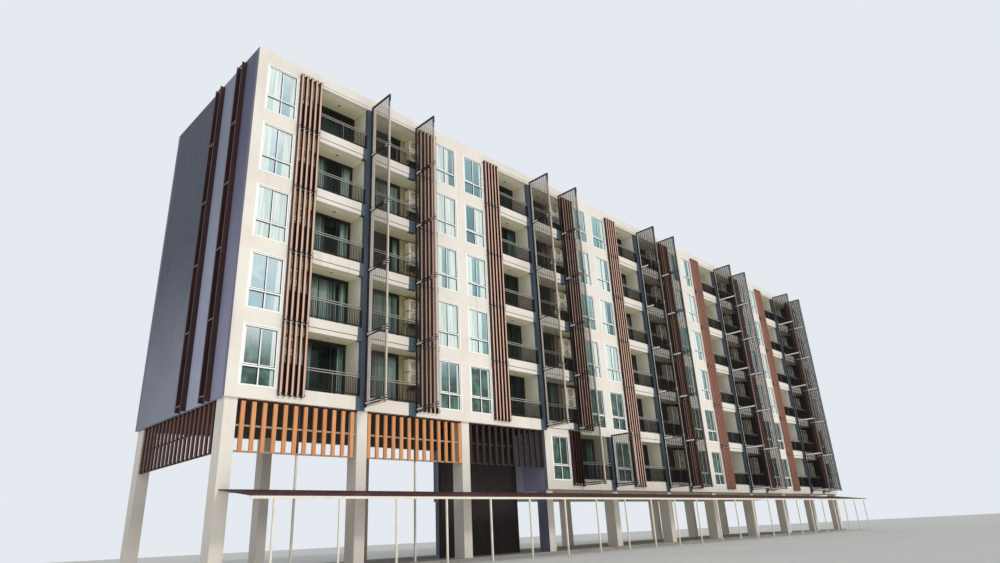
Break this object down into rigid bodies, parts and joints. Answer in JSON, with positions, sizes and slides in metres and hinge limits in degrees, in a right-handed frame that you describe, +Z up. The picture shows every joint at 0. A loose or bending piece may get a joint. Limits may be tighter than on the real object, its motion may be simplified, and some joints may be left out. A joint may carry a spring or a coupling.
{
  "type": "half-scale model of a long apartment block",
  "caption": "Long slab of stacked flats over an open podium, with recessed balconies, slat strips, tall wire screens, finned gables and a lean-to canopy.",
  "frame": {"origin": "centre of the ground slab's underside", "axes": "+X along the front from the left gable to the right one as seen from the front, +Y from the front to the rear, +Z up"},
  "size_m": [27.116, 5.43, 10.08],
  "materials": {
    "front_render": "painted render, matte",
    "gable_render": "grey-lavender painted render, matte",
    "dark_render": "dark blue-grey painted render, matte",
    "balcony_render": "beige painted render, matte",
    "concrete": "bare concrete, matte",
    "window_glass": "clear, slightly green",
    "door_glass": "green tint",
    "brown_wood": "stained brown, satin",
    "orange_wood": "orange-brown stain, satin",
    "dark_metal": "near black, satin",
    "grey_metal": "grey, satin",
    "light_metal": "cream, satin",
    "white_metal": "cream white, satin",
    "red_sheet": "dull dark red, satin"
  },
  "bodies": {
    "root": {"ground_slab": "concrete", "columns": "front_render", "podium_posts": "light_metal", "podium_recess_wall": "concrete", "podium_end_wall": "gable_render", "podium_slats": "orange_wood", "gable_slats": "brown_wood", "floor_slab_0": "balcony_render", "floor_slab_1": "balcony_render", "floor_slab_2": "balcony_render", "floor_slab_3": "balcony_render", "floor_slab_4": "balcony_render", "floor_slab_5": "balcony_render", "roof_slab": "concrete", "long_parapets": "front_render", "end_parapets": "gable_render", "front_spandrels": "front_render", "front_wall_piers": "front_render", "low_spandrels": "front_render", "rear_spandrels": "front_render", "rear_wall_piers": "front_render", "gable_walls": "gable_render", "gable_spandrels": "gable_render", "balcony_piers": "dark_render", "balcony_party_walls": "balcony_render", "balcony_side_walls": "balcony_render", "balcony_jambs": "balcony_render", "balcony_lintels": "balcony_render", "balcony_fascias": "front_render", "fascia_blocks": "dark_render", "front_windows": "window_glass", "balcony_doors": "door_glass", "rear_windows": "window_glass", "gable_windows": "window_glass", "railings_low": "dark_metal", "railings_high": "dark_metal", "slat_strips": "brown_wood", "screen_frames": "dark_metal", "screen_bars": "grey_metal", "gable_fins": "brown_wood", "fin_brackets": "light_metal", "condensers": "white_metal", "canopy_roof": "red_sheet", "canopy_frame": "light_metal", "canopy_posts": "light_metal"}
  },
  "joints": []
}
